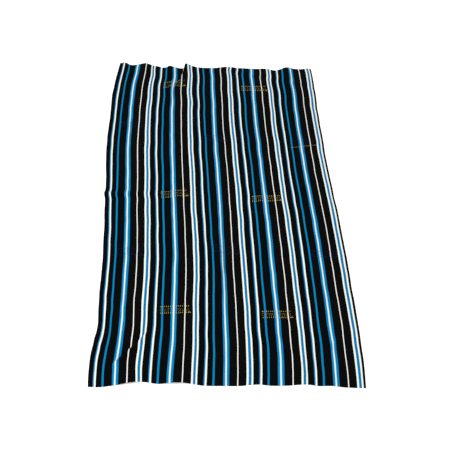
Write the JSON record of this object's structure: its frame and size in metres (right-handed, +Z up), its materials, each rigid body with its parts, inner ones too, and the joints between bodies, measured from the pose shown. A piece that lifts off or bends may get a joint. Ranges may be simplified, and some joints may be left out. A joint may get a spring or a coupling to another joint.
{
  "type": "handwoven striped cloth",
  "caption": "Strip-woven cotton cloth in narrow striped strips sewn edge to edge, lying open on a flat surface with its fold creases and soft ripples.",
  "frame": {"origin": "middle of the cloth's box, on the surface that it lies on", "axes": "+Y along the strips from the near end to the far end, +X across them from strip_1 to strip_5, +Z up"},
  "size_m": [0.715, 1.3101, 0.0131],
  "materials": {
    "striped_cotton": "matte handwoven cotton, near-black warp with blue and white stripes"
  },
  "bodies": {
    "root": {"strip_1": "striped_cotton", "strip_2": "striped_cotton", "strip_3": "striped_cotton", "strip_4": "striped_cotton", "strip_5": "striped_cotton"}
  },
  "joints": []
}
